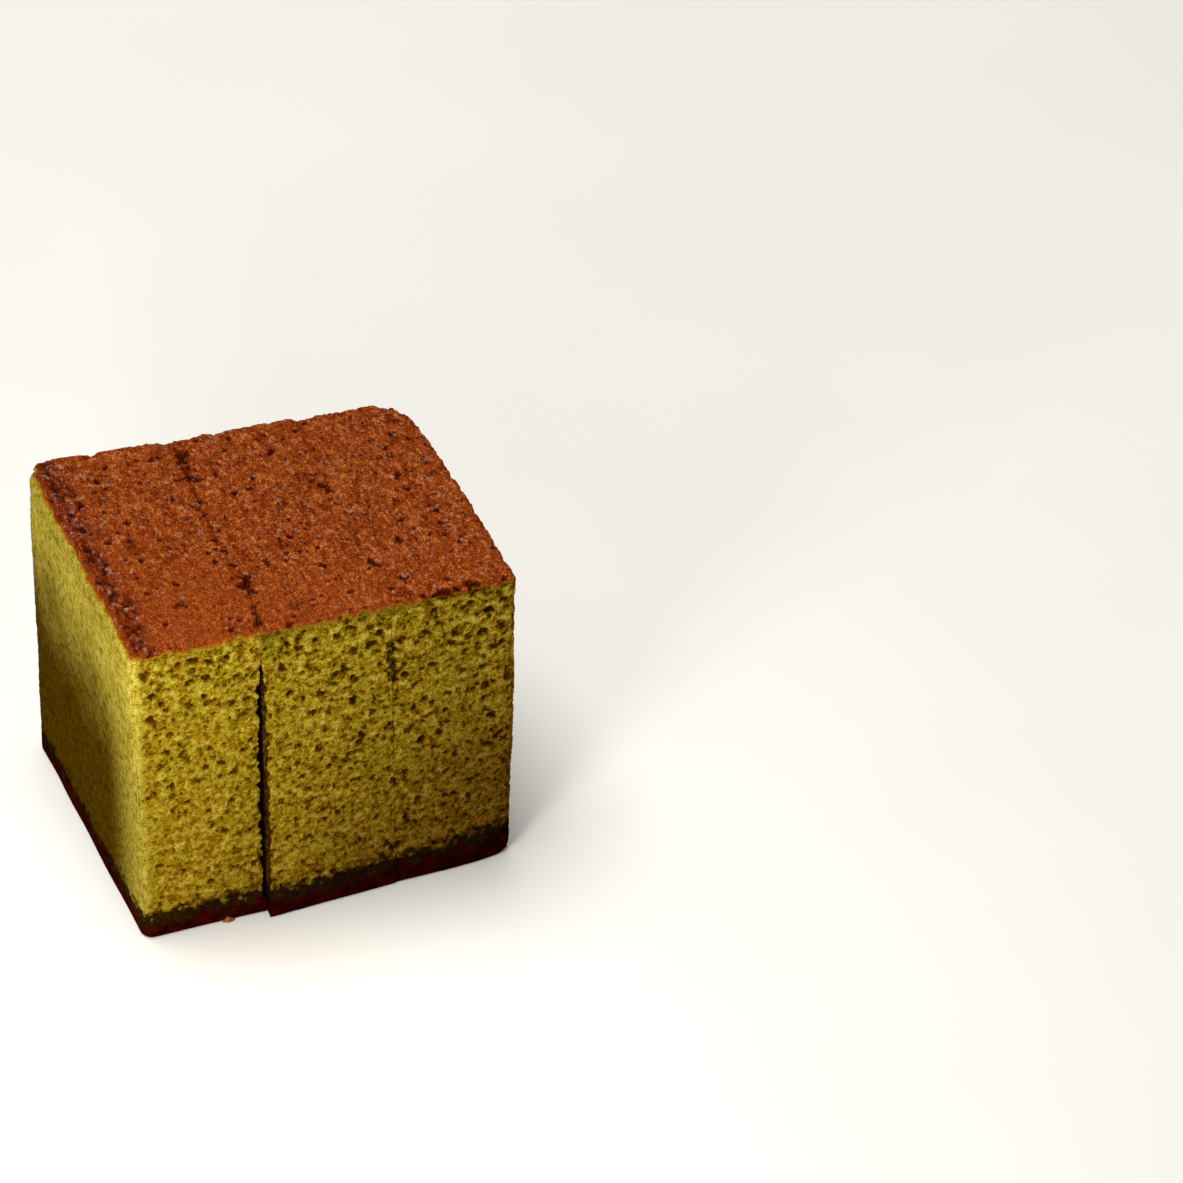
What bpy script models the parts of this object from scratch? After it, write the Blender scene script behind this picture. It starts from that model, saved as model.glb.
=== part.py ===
"""Matcha castella: a block of green tea sponge cake, cut down into three slices that still stand together.

Units are metres and +Z is up. The origin is under the middle of the block, on what it stands on. X runs
across the slices from left to right, and Y runs from the front cut face to the back. Each slice is one closed
solid that runs through the browned skin, the crumb and the dark bottom crust. Its six sides are flat patches,
triangulated around the rims of the holes that the knife laid open. The patches are welded, their rims are
softened, and every point is then carried between the slice's two skewed cuts.
"""

import math
import random
from typing import NamedTuple

import bmesh
import bpy
from mathutils import Vector, geometry, noise

# Driving dimensions of the whole block
CAKE_WIDTH = 0.063
CAKE_DEPTH = 0.0525
CAKE_HEIGHT = 0.0574
SLICE_COUNT = 3
SLICE_THICKNESS = CAKE_WIDTH / SLICE_COUNT
SIDES = (SLICE_THICKNESS, CAKE_DEPTH, CAKE_HEIGHT)
# The origin's place, from the block's front left corner: the middle of all three slices as they stand
ORIGIN = (0.03031, 0.02676, 0.0)


class Cut(NamedTuple):
    """One face-to-face knife cut: how far it is from its even place, and how wide it stands open."""

    foot: float
    to_back: float
    to_top: float
    to_far_top: float = 0.0
    bow: float = 0.0
    open_foot: float = 0.0
    open_top: float = 0.0


# The cuts from left to right, the two outer sides among them. foot is the shift at the foot of the front. The
# next three say how far the cut drifts from there by the back, by the top and by the far top corner. bow says
# how far it has bent aside by the back, from BOW_START of the depth on.
KNIFE_CUTS = (
    Cut(foot=0.0003, to_back=-0.0029, to_top=-0.0003, to_far_top=0.0010),
    Cut(foot=-0.0002, to_back=0.0013, to_top=0.0001, open_foot=0.0010, open_top=0.00035),
    Cut(foot=0.0005, to_back=0.0010, to_top=-0.0005, open_foot=0.00035, open_top=0.00035),
    Cut(foot=-0.0001, to_back=0.0001, to_top=0.0001, bow=-0.0020),
)
BOW_START, BOW_POWER = 0.29, 1.5


class Slice(NamedTuple):
    """How one slice stands among the others, and the seed of its holes."""

    name: str
    set_back: float
    foot_out: float
    back_left: float
    back_right: float
    taller: float
    seed: int


# set_back is how far a slice stands behind the front plane, and foot_out how far the left corner of its foot
# stands out of it. The backs say how far past the block's depth a slice reaches at its two cuts.
SLICES = (
    Slice("slice_left", 0.0004, foot_out=0.0, back_left=0.0026, back_right=0.0009, taller=0.0, seed=11),
    Slice("slice_middle", 0.0, foot_out=0.0013, back_left=0.0006, back_right=0.0001, taller=0.0003, seed=23),
    Slice("slice_right", 0.0002, foot_out=0.0, back_left=0.0002, back_right=-0.0010, taller=0.0001, seed=37),
)

# The right end is pressed in at the foot of its front edge
FOOT_PRESS = 0.0016
PRESS_REACH = (0.012, 0.026, 0.030)

# Radii of the block's rims, and of the edges that the two inner cuts left
LEFT_RIM, RIGHT_RIM = 0.0022, 0.0008
TOP_RIM, BOTTOM_RIM, RIGHT_FOOT_RIM = 0.0006, 0.0005, 0.0030
UPRIGHT_EDGES = {"front_left": 0.0018, "back_left": 0.0036, "front_right": 0.0012, "back_right": 0.0068}
INNER_EDGE = 0.0004

# The browned skin on top, the crust below, and the crumb between them, which the knife dragged in a little at
# the front and at the back
TOP_SKIN = 0.0011
BOTTOM_CRUST = 0.0036
CRUMB_DRAG = 0.00025
RAGGED_EDGE = 0.0005

# Low waves of the sides and of the top: how far they move a point, and how long they are
SIDE_WAVE, SIDE_WAVE_LENGTH = 0.00022, 0.011
TOP_WAVE, TOP_WAVE_LENGTH = 0.00030, 0.008
# The wrinkled furrow in the skin beside the left rim
FURROW_INSET, FURROW_WIDTH, FURROW_DEPTH = 0.0042, 0.0022, 0.0006

# Holes laid open in each side that shows: how many to the square centimetre, how wide and how deep
HOLES = {
    "front": {"per_cm2": 6.0, "radius": (0.00045, 0.00105), "depth": (0.0007, 0.0013)},
    "back": {"per_cm2": 3.6, "radius": (0.00045, 0.00100), "depth": (0.0006, 0.0012)},
    "side": {"per_cm2": 2.6, "radius": (0.00045, 0.00090), "depth": (0.0005, 0.0010)},
    "top": {"per_cm2": 4.6, "radius": (0.00045, 0.00100), "depth": (0.0003, 0.0007)},
}
HOLE_SIDES = 6
HOLE_CLEARANCE = 0.0003
ROOM_AT_RIMS = 0.0018
TRIES_PER_HOLE = 30

# Spacing of the points along the edges, and how near two points may be before they are one
EDGE_SPACING = 0.0036
WELD = 1e-6
SHARP_ANGLE = 0.6

# Colours (linear RGB) and roughness of the three zones that a slice shows
LOOKS = (
    {"name": "matcha_crumb", "colour": (0.33, 0.21, 0.018), "roughness": 0.92},
    {"name": "browned_skin", "colour": (0.26, 0.055, 0.010), "roughness": 0.55},
    {"name": "dark_bottom_crust", "colour": (0.035, 0.008, 0.003), "roughness": 0.70},
)
CRUMB, SKIN, BASE = range(len(LOOKS))
X, Y, Z = range(3)


def clear_scene():
    for leftover in list(bpy.data.objects):
        bpy.data.objects.remove(leftover)


def make_materials():
    """One plain Principled material for each zone."""
    made = []
    for look in LOOKS:
        material = bpy.data.materials.new(look["name"])
        material.use_nodes = True
        shader = material.node_tree.nodes["Principled BSDF"]
        shader.inputs["Base Color"].default_value = (*look["colour"], 1)
        shader.inputs["Roughness"].default_value = look["roughness"]
        material.diffuse_color = (*look["colour"], 1)
        made.append(material)
    return made


def slice_rims(order):
    """The radii of one slice's rims and upright edges. order is its place from the left."""
    first, last = order == 0, order == SLICE_COUNT - 1
    return {
        "left_top": LEFT_RIM if first else INNER_EDGE,
        "left_base": BOTTOM_RIM if first else INNER_EDGE,
        "right_top": RIGHT_RIM if last else INNER_EDGE,
        "right_base": RIGHT_FOOT_RIM if last else INNER_EDGE,
        "front_left": UPRIGHT_EDGES["front_left"] if first else INNER_EDGE,
        "back_left": UPRIGHT_EDGES["back_left"] if first else INNER_EDGE,
        "front_right": UPRIGHT_EDGES["front_right"] if last else INNER_EDGE,
        "back_right": UPRIGHT_EDGES["back_right"] if last else INNER_EDGE,
    }


def rim_steps(radius):
    """Distances from an edge where the patches need points, so that the rim can turn."""
    return [radius] if radius < 0.001 else [0.35 * radius, radius]


def stations(length, low_steps, high_steps):
    """Places of the points along an edge: close ones at both ends and even ones between."""
    low, high = [0.0, *low_steps], [length, *(length - step for step in high_steps)]
    start, end = low[-1], high[-1]
    count = max(1, round((end - start) / EDGE_SPACING))
    between = [start + (end - start) * step / count for step in range(1, count)]
    return low + between + high[::-1]


def slice_stations(order):
    """The places of the edge points along X, Y and Z of one slice."""
    rims = slice_rims(order)
    x_low = rim_steps(max(rims["left_top"], rims["front_left"], rims["back_left"]))
    x_high = rim_steps(max(rims["right_top"], rims["right_base"], rims["front_right"], rims["back_right"]))
    y_low = rim_steps(max(TOP_RIM, rims["front_left"], rims["front_right"]))
    y_high = rim_steps(max(TOP_RIM, rims["back_left"], rims["back_right"]))
    z_low = rim_steps(max(BOTTOM_RIM, rims["left_base"], rims["right_base"]))
    z_high = {TOP_RIM / 2, TOP_SKIN, max(TOP_SKIN, rims["left_top"])}
    return (
        stations(SLICE_THICKNESS, x_low, x_high),
        stations(CAKE_DEPTH, y_low, y_high),
        stations(CAKE_HEIGHT, [*z_low, BOTTOM_CRUST], sorted(z_high)),
    )


def draw_holes(kind, width, height, low_room, high_room, chance):
    """Circles (u, v, radius) scattered over a patch, none of which meets another or a rim."""
    wanted = HOLES[kind]
    target = round(wanted["per_cm2"] * width * height * 1e4)
    found = []
    for _ in range(target * TRIES_PER_HOLE):
        if len(found) == target:
            break
        radius = wanted["radius"][0] + (wanted["radius"][1] - wanted["radius"][0]) * chance.random() ** 2
        u = chance.uniform(low_room[0] + radius, width - high_room[0] - radius)
        v = chance.uniform(low_room[1] + radius, height - high_room[1] - radius)
        if all(math.dist((u, v), hole[:2]) > radius + hole[2] + HOLE_CLEARANCE for hole in found):
            found.append((u, v, radius))
    return found


def hole_points(hole, kind, chance):
    """A crooked ring of points round a hole, and its off-centre deepest point, each with its depth."""
    u, v, radius = hole
    turn = chance.uniform(0, math.tau)
    flat = chance.uniform(0.65, 1.0)
    points = []
    for corner in range(HOLE_SIDES):
        angle = math.tau * corner / HOLE_SIDES
        reach = radius * chance.uniform(0.78, 1.0)
        along, across = reach * math.cos(angle), reach * flat * math.sin(angle)
        du = along * math.cos(turn) - across * math.sin(turn)
        dv = along * math.sin(turn) + across * math.cos(turn)
        points.append((u + du, v + dv, 0.0))
    depth = chance.uniform(*HOLES[kind]["depth"])
    points.append((u + chance.uniform(-0.2, 0.2) * radius, v + chance.uniform(-0.2, 0.2) * radius, depth))
    return points


def patch(kind, places_u, places_v, zone_lines, chance):
    """One flat side as (points, faces). A point is (u, v, depth). kind is None for a side with no holes."""
    width, height = places_u[-1], places_v[-1]
    rims_u = [u for u in places_u if min(u, width - u) < EDGE_SPACING]
    rims_v = [v for v in places_v if min(v, height - v) < EDGE_SPACING and v not in zone_lines]
    points = [(u, v, 0.0) for u in rims_u for v in places_v]
    points += [(u, v, 0.0) for v in rims_v for u in places_u if u not in rims_u]
    edges = []
    if kind:
        middle_u = [u for u in places_u if u not in rims_u]
        for line in zone_lines:
            points += [(u, line + chance.uniform(-1, 1) * RAGGED_EDGE, 0.0) for u in middle_u]
        low_room = (ROOM_AT_RIMS, (zone_lines[0] if zone_lines else 0.0) + ROOM_AT_RIMS / 2)
        high_room = (ROOM_AT_RIMS, (height - zone_lines[1] if zone_lines else 0.0) + ROOM_AT_RIMS / 2)
        for hole in draw_holes(kind, width, height, low_room, high_room, chance):
            first = len(points)
            points += hole_points(hole, kind, chance)
            edges += [(first + corner, first + (corner + 1) % HOLE_SIDES) for corner in range(HOLE_SIDES)]
    flat = [Vector((u, v)) for u, v, _ in points]
    out_points, _, faces, sources, _, _ = geometry.delaunay_2d_cdt(flat, edges, [], 0, WELD)
    depths = [max(points[source][2] for source in group) if group else 0.0 for group in sources]
    return [(point.x, point.y, depth) for point, depth in zip(out_points, depths)], faces


def shown_sides(order):
    """(kind, axis, far) of the six sides of one slice. kind is None where no holes show."""
    return (
        ("front", Y, False),
        ("back", Y, True),
        ("top", Z, True),
        (None, Z, False),
        ("side" if order == 0 else None, X, False),
        ("side" if order == SLICE_COUNT - 1 else None, X, True),
    )


def boxed_slice(order, chance):
    """A slice as a plain box with its holes. Each vertex keeps its flat place and its depth below it."""
    places = slice_stations(order)
    box = bmesh.new()
    depth_layer = box.verts.layers.float_vector.new("hole_depth")
    for kind, axis, far in shown_sides(order):
        across, up = [index for index in range(3) if index != axis]
        zone_lines = (BOTTOM_CRUST, CAKE_HEIGHT - TOP_SKIN) if axis != Z else ()
        points, faces = patch(kind, places[across], places[up], zone_lines, chance)
        inward = Vector((0, 0, 0))
        inward[axis] = -1 if far else 1
        made = []
        for u, v, depth in points:
            place_on_box = Vector((0, 0, 0))
            place_on_box[axis] = SIDES[axis] if far else 0.0
            place_on_box[across], place_on_box[up] = u, v
            vertex = box.verts.new(place_on_box)
            vertex[depth_layer] = inward * depth
            made.append(vertex)
        for corners in faces:
            face = box.faces.new([made[corner] for corner in corners])
            height = face.calc_center_median().z
            if height > CAKE_HEIGHT - TOP_SKIN:
                face.material_index = SKIN
            elif height < BOTTOM_CRUST:
                face.material_index = BASE
            else:
                face.material_index = CRUMB
    bmesh.ops.remove_doubles(box, verts=box.verts[:], dist=WELD * 5)
    bmesh.ops.recalc_face_normals(box, faces=box.faces[:])
    return box, depth_layer


def rounded(a, b, length_a, length_b, radii):
    """Pulls a point near a corner of a rectangle inside that corner's arc.

    radii are those of the corners low-low, low-high, high-low and high-high.
    """
    low_a, low_b = a < length_a / 2, b < length_b / 2
    radius = radii[(0 if low_a else 2) + (0 if low_b else 1)]
    centre_a = radius if low_a else length_a - radius
    centre_b = radius if low_b else length_b - radius
    out_a = centre_a - a if low_a else a - centre_a
    out_b = centre_b - b if low_b else b - centre_b
    if out_a <= 0 or out_b <= 0:
        return a, b
    shrink = max(out_a, out_b) / math.hypot(out_a, out_b)
    return centre_a + (a - centre_a) * shrink, centre_b + (b - centre_b) * shrink


def softened(point, order):
    """Where the slice's soft rims and edges leave a point of the plain box."""
    rims = slice_rims(order)
    x, y, z = point
    y, z = rounded(y, z, CAKE_DEPTH, CAKE_HEIGHT, (BOTTOM_RIM, TOP_RIM, BOTTOM_RIM, TOP_RIM))
    around = (rims["left_base"], rims["left_top"], rims["right_base"], rims["right_top"])
    x, z = rounded(x, z, SLICE_THICKNESS, CAKE_HEIGHT, around)
    upright = (rims["front_left"], rims["back_left"], rims["front_right"], rims["back_right"])
    x, y = rounded(x, y, SLICE_THICKNESS, CAKE_DEPTH, upright)
    return Vector((x, y, z))


def wave(point, length, seed):
    """A smooth random height between about -1 and 1."""
    return noise.noise(point / length + Vector((seed, 3.1 * seed, 0.7 * seed)))


def relief(flat, order):
    """How far waves, the dragged crumb and the furrow in the skin move a point of the plain box."""
    whole = Vector((flat.x + order * SLICE_THICKNESS, flat.y, flat.z))
    in_crumb = BOTTOM_CRUST + RAGGED_EDGE < flat.z < CAKE_HEIGHT - TOP_SKIN - RAGGED_EDGE
    low_wave = SIDE_WAVE * wave(whole, SIDE_WAVE_LENGTH, 5)
    inward = low_wave + (CRUMB_DRAG if in_crumb else 0.0)
    move = Vector((0, 0, 0))
    if flat.y < WELD:
        move.y += inward
    if flat.y > CAKE_DEPTH - WELD:
        move.y -= inward
    if whole.x < WELD:
        move.x += low_wave
    if whole.x > CAKE_WIDTH - WELD:
        move.x -= low_wave
    if flat.z > CAKE_HEIGHT - WELD:
        furrow = max(0.0, 1 - abs(whole.x - FURROW_INSET) / FURROW_WIDTH)
        move.z += TOP_WAVE * wave(whole, TOP_WAVE_LENGTH, 9)
        move.z -= FURROW_DEPTH * furrow * (0.6 + 0.4 * wave(whole, TOP_WAVE_LENGTH, 17))
    return move


def cut_place(cut, depth_share, height_share, hand):
    """X of a knife cut, from the block's left end.

    hand is -1 for the face left of the opening and 1 for the face right of it.
    """
    knife = KNIFE_CUTS[cut]
    bent = max(0.0, (depth_share - BOW_START) / (1 - BOW_START)) ** BOW_POWER
    middle = cut * SLICE_THICKNESS + knife.foot + knife.to_back * depth_share + knife.to_top * height_share
    middle += knife.to_far_top * depth_share * height_share + knife.bow * bent
    opening = knife.open_foot + (knife.open_top - knife.open_foot) * height_share
    return middle + hand * opening / 2


def foot_press(x, y, z):
    """How far the foot of the block's front right edge is pressed in."""
    near_end = max(0.0, 1 - (CAKE_WIDTH - x) / PRESS_REACH[X])
    near_front = max(0.0, 1 - y / PRESS_REACH[Y])
    near_foot = max(0.0, 1 - z / PRESS_REACH[Z])
    return FOOT_PRESS * near_end**2 * near_front * near_foot


def placed(point, order):
    """Carries a point of the plain box between the slice's two cuts, with the origin under the middle."""
    stand = SLICES[order]
    depth_share, height_share = point.y / CAKE_DEPTH, point.z / CAKE_HEIGHT
    width_share = point.x / SLICE_THICKNESS
    left = cut_place(order, depth_share, height_share, 1)
    right = cut_place(order + 1, depth_share, height_share, -1)
    x = left + (right - left) * width_share
    front = stand.set_back - stand.foot_out * (1 - width_share) * (1 - height_share) ** 2
    back = CAKE_DEPTH + stand.back_left + (stand.back_right - stand.back_left) * width_share
    y = front + (back - front) * depth_share
    y += foot_press(x, y, point.z)
    z = point.z * (1 + stand.taller / CAKE_HEIGHT)
    return Vector((x, y, z)) - Vector(ORIGIN)


def make_slice(order, materials):
    """Builds one slice and links it to the scene."""
    name = SLICES[order].name
    box, depth_layer = boxed_slice(order, random.Random(SLICES[order].seed))
    for vertex in box.verts:
        shaped = softened(vertex.co, order) + relief(vertex.co, order) + vertex[depth_layer]
        vertex.co = placed(shaped, order)
    mesh = bpy.data.meshes.new(name)
    box.to_mesh(mesh)
    box.free()
    mesh.shade_smooth()
    mesh.set_sharp_from_angle(angle=SHARP_ANGLE)
    for material in materials:
        mesh.materials.append(material)
    slice_object = bpy.data.objects.new(name, mesh)
    bpy.context.scene.collection.objects.link(slice_object)
    return slice_object


def main():
    clear_scene()
    materials = make_materials()
    for order in range(SLICE_COUNT):
        make_slice(order, materials)


main()
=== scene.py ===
import math
from typing import NamedTuple

import bmesh
import bpy
import numpy as np
from mathutils import Matrix, Vector, kdtree, noise


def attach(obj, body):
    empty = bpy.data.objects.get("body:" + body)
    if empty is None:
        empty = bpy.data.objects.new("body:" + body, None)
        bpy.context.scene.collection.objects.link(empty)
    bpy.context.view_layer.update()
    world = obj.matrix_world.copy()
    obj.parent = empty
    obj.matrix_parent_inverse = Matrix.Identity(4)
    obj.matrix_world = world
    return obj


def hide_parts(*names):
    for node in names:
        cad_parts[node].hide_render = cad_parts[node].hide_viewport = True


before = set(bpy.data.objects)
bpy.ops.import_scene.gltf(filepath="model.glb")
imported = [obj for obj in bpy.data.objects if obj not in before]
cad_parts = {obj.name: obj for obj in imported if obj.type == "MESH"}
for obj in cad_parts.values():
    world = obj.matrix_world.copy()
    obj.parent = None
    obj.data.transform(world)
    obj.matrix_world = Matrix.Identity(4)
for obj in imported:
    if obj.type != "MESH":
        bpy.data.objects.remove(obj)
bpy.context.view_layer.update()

# The block and its slices, in metres, in the block's own frame: its front left foot is the zero point
CAKE_WIDTH = 0.063
CAKE_DEPTH = 0.0525
CAKE_HEIGHT = 0.0574
SLICE_COUNT = 3
SLICE_THICKNESS = CAKE_WIDTH / SLICE_COUNT
SIDES = np.array((SLICE_THICKNESS, CAKE_DEPTH, CAKE_HEIGHT))
ORIGIN = np.array((0.03031, 0.02676, 0.0))


class Cut(NamedTuple):
    """One face-to-face knife cut: how far it is from its even place, and how wide it stands open."""

    foot: float
    to_back: float
    to_top: float
    to_far_top: float = 0.0
    bow: float = 0.0
    open_foot: float = 0.0
    open_top: float = 0.0


KNIFE_CUTS = (
    Cut(foot=0.0003, to_back=-0.0029, to_top=-0.0003, to_far_top=0.0010),
    Cut(foot=-0.0002, to_back=0.0013, to_top=0.0001, open_foot=0.0010, open_top=0.00035),
    Cut(foot=0.0005, to_back=0.0010, to_top=-0.0005, open_foot=0.00035, open_top=0.00035),
    Cut(foot=-0.0001, to_back=0.0001, to_top=0.0001, bow=-0.0020),
)
BOW_START, BOW_POWER = 0.29, 1.5


class Slice(NamedTuple):
    """How one slice stands, its seed, and how fine its surface is across, from front to back and up."""

    name: str
    seed: int
    mesh: tuple
    set_back: float = 0.0
    foot_out: float = 0.0
    back_left: float = 0.0
    back_right: float = 0.0
    taller: float = 0.0


OUTER_MESH, MIDDLE_MESH = (0.00023, 0.00030, 0.000263), (0.00020, 0.00026, 0.00022)
SLICES = (
    Slice("slice_left", 11, OUTER_MESH, set_back=0.0004, back_left=0.0026, back_right=0.0009),
    Slice("slice_middle", 23, MIDDLE_MESH, foot_out=0.0013, back_left=0.0006, back_right=0.0001,
          taller=0.0003),
    Slice("slice_right", 37, OUTER_MESH, set_back=0.0002, back_left=0.0002, back_right=-0.0010,
          taller=0.0001),
)
FOOT_PRESS = 0.0016
PRESS_REACH = (0.012, 0.026, 0.030)
LEFT_RIM, RIGHT_RIM = 0.0022, 0.0008
TOP_RIM, BOTTOM_RIM, RIGHT_FOOT_RIM = 0.0006, 0.0005, 0.0030
UPRIGHT_EDGES = {"front_left": 0.0018, "back_left": 0.0036, "front_right": 0.0012, "back_right": 0.0068}
INNER_EDGE = 0.00016
# The rims of the cuts are keen where the skin and the front are still joined
SKIN_CUT_EDGE, SHUT_CUT = 0.00001, 0.000004
TOP_SKIN = 0.0011
BOTTOM_CRUST = 0.0036
CRUMB_DRAG = 0.00025
SIDE_WAVE, SIDE_WAVE_LENGTH = 0.00022, 0.011
TOP_WAVE, TOP_WAVE_LENGTH = 0.00030, 0.008
FURROW_INSET, FURROW_WIDTH, FURROW_DEPTH = 0.0042, 0.0022, 0.0006

X, Y, Z = range(3)
MM = 0.001
WELD = 1e-6
SHARP_ANGLE = 1.25
# Cells of the hidden sides, and how far in from the front and the back a cut's wall stays fine
COARSE_CELL = 0.003
FINE_WALL = 0.003
# Everything that sinks goes toward a core this far inside the block, so rims never fold over
CORE_INSET = 0.0022
# Holes are stretched across the block and up more often than into it, the skin's pits more often into it
LEVEL_BIAS, SKIN_BIAS = np.array((1.2, 0.5, 0.8)), np.array((0.5, 1.4, 0.2))

# Holes: how many to the square centimetre, radius and depth in millimetres, and their size at the foot
CRUMB_HOLES = (
    {"per_cm2": 12, "radius": (0.38, 0.70), "depth": (0.30, 0.60), "foot_size": 0.78},
    {"per_cm2": 34, "radius": (0.28, 0.48), "depth": (0.10, 0.30), "foot_size": 0.82},
)
LOAF_SIDE_HOLES = (
    {"per_cm2": 1.5, "radius": (0.25, 0.45), "depth": (0.20, 0.35), "foot_size": 1.0},
    {"per_cm2": 16, "radius": (0.24, 0.40), "depth": (0.06, 0.16), "foot_size": 1.0},
)
SKIN_HOLES = (
    {"per_cm2": 5, "radius": (0.32, 0.60), "depth": (0.30, 0.60), "foot_size": 1.0},
    {"per_cm2": 26, "radius": (0.20, 0.38), "depth": (0.10, 0.34), "foot_size": 1.0},
    {"per_cm2": 3, "radius": (0.80, 1.40), "depth": (0.05, 0.11), "foot_size": 1.0},
)
# Small holes are commoner than wide ones by this power
HOLE_POWER = 1.7
# A hole's lobes: from one up to below three, how far aside and how wide by its radius, and their depth
LOBES, LOBE_ASIDE, LOBE_RADIUS, LOBE_DEPTH = (1, 3), (0.7, 1.0), (0.45, 0.70), 0.8
# How far holes are stretched, and how steeply they sink and darken with painted shade from their edge inward
HOLE_STRETCH, HOLE_SHAPE, HOLE_SHADE = (1.0, 1.9), 0.9, 1.5
# How far holes stay off the crust and the skin, and where they grow shallow toward the loaf's own side
CRUST_MARGIN, SKIN_MARGIN, LOAF_EDGE = 0.0002, 0.0004, (0.0004, 0.0028)
# A hole this deep gets as much painted shade as most get. The front's widest and the skin's notches get more
# still
FULL_HOLE, FRONT_HOLE_DEPTH, DARKEST = 0.00036, 0.0008, 1.3
# The widest holes of the front: across the block, height and radius, in millimetres
FRONT_HOLES = (
    (2.6, 53.4, 0.85), (10.1, 54.4, 0.60), (3.4, 49.1, 0.50), (5.1, 47.1, 0.52), (5.4, 37.3, 0.50),
    (6.1, 30.4, 0.60), (12.0, 47.0, 0.48), (16.9, 49.5, 0.45), (25.3, 44.0, 0.66), (25.2, 54.0, 0.55),
    (35.8, 40.0, 0.62), (40.4, 52.2, 0.62), (35.7, 44.5, 0.60), (58.3, 52.2, 0.66), (57.4, 48.0, 0.72),
    (49.4, 54.3, 0.60), (42.2, 49.1, 0.60), (42.1, 47.8, 0.66), (42.1, 46.4, 0.72), (42.2, 45.0, 0.75),
    (42.3, 43.6, 0.72), (44.2, 42.8, 0.58), (46.9, 28.8, 0.58), (36.5, 31.2, 0.52), (59.0, 30.8, 0.70),
    (57.8, 37.3, 0.62), (45.7, 35.7, 0.56), (59.8, 25.9, 0.60), (11.8, 8.9, 0.50), (51.2, 57.2, 1.05),
    (55.9, 57.1, 1.05), (41.8, 7.7, 0.75), (42.7, 8.1, 0.60), (42.0, 21.5, 0.45), (41.8, 33.6, 0.42),
    (43.9, 49.9, 0.60), (42.4, 42.6, 0.66),
)
# The skin's darkest pits, dark with painted shade: across the block, from front to back and radius, in
# millimetres
SKIN_MARKS = (
    (21.5, 47.4, 0.95), (21.2, 45.6, 0.70), (21.5, 41.0, 0.95), (22.3, 40.4, 0.60), (20.9, 35.2, 0.50),
    (20.7, 31.4, 0.50), (21.9, 27.1, 0.50), (21.3, 21.6, 0.55), (27.0, 35.4, 0.60), (36.0, 48.9, 0.45),
    (35.7, 44.1, 0.60), (38.0, 37.0, 0.50), (32.2, 21.9, 0.60), (8.0, 30.8, 0.45), (18.4, 48.0, 0.50),
    (57.1, 43.4, 0.60), (54.9, 37.8, 0.60), (58.1, 25.5, 0.50), (56.3, 23.3, 0.50), (51.5, 25.9, 0.50),
    (56.3, 18.0, 0.50), (53.7, 15.6, 0.50), (61.9, 9.2, 0.45), (60.7, 12.4, 0.50), (57.5, 12.4, 0.50),
    (46.0, 6.0, 0.65), (42.5, 11.8, 0.75), (43.4, 4.0, 0.50), (41.1, 33.1, 0.70), (41.9, 31.2, 0.70),
    (40.4, 36.2, 0.50), (42.9, 25.2, 0.50), (2.5, 42.7, 0.70), (3.6, 22.5, 0.60), (2.5, 25.6, 0.60),
    (1.8, 19.7, 0.50), (2.7, 48.3, 0.50), (51.0, 0.5, 1.45), (55.9, 0.4, 1.40), (61.0, 0.5, 0.60),
    (21.3, 2.4, 0.60), (21.0, 6.4, 0.50), (47.6, 0.5, 0.55),
    (21.5, 14.2, 0.95), (20.8, 12.0, 0.85), (21.8, 10.2, 0.70), (21.1, 17.6, 0.60), (20.6, 24.6, 0.50),
    (21.6, 44.0, 0.60), (3.2, 33.0, 0.75), (2.8, 28.6, 0.85), (3.9, 24.2, 0.80), (3.0, 37.6, 0.70),
)
# How deep these are, and above which radius in millimetres they are notches, with their own depth
MARK_DEPTH, NOTCH_RADIUS, NOTCH_DEPTH = 0.00045, 1.0, 0.0009
# Toward the front left the skin keeps this share of its pits, and this far off it keeps them all
CALM_SHARE, CALM_REACH = 0.10, 0.080
# Raised beads that carry painted glints: below how many to a pit, how far aside by its radius, radius in
# millimetres, height
PIT_BEADS, BEAD_ASIDE, BEAD_RADIUS, BEAD_HEIGHT = 3, (1.0, 1.5), (0.16, 0.34), 0.00014
# Where the skin is torn open along each cut: from the front edge to its middle, length and width
SKIN_TEARS = {
    1: (
        (3.4, 3.6, 0.12), (10.4, 2.2, 0.16), (13.0, 3.4, 0.26), (16.2, 1.6, 0.12), (22.0, 2.2, 0.12),
        (41.0, 2.2, 0.16), (46.8, 2.6, 0.16),
    ),
    2: ((11.8, 1.4, 0.12), (33.6, 2.8, 0.15), (46.3, 1.6, 0.10)),
}
# The skin sinks in patches along each cut, darkened there with painted shade: how deep, and how far from the
# cut
SEAM_DEPTH, SEAM_REACH = {1: 0.00020, 2: 0.00012}, 0.00070
# Bends of the cuts in the skin, in millimetres: from the front edge to the bend's middle, its reach, and
# how far to the right
SEAM_BENDS = {1: ((13.0, 5.0, 1.35), (5.8, 3.0, 0.70)), 2: ((30.0, 5.0, -0.40),)}
SEAM_BEND_HEIGHT = 0.010
# The slices touch inside the cuts, halfway to the back: how far back, over what length, how much of the
# gap closes, and how far they are pressed together
TOUCH_PLACE, TOUCH_REACH, TOUCH_SHARE, TOUCH_PRESS = 0.029, 0.0085, 0.995, 0.00008
# Crumbs at the foot of the front: across the block, from front to back and radius, in millimetres
LOOSE_CRUMBS = ((14.2, 0.30, 0.58), (14.9, 0.25, 0.32), (13.5, 0.35, 0.24))
# Depths of the shallow hollows between the holes, and of the finest grain
CRUMB_HOLLOW, SKIN_HOLLOW, SIDE_HOLLOW, GRAIN = 0.00020, 0.00012, 0.00010, 0.00004
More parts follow.
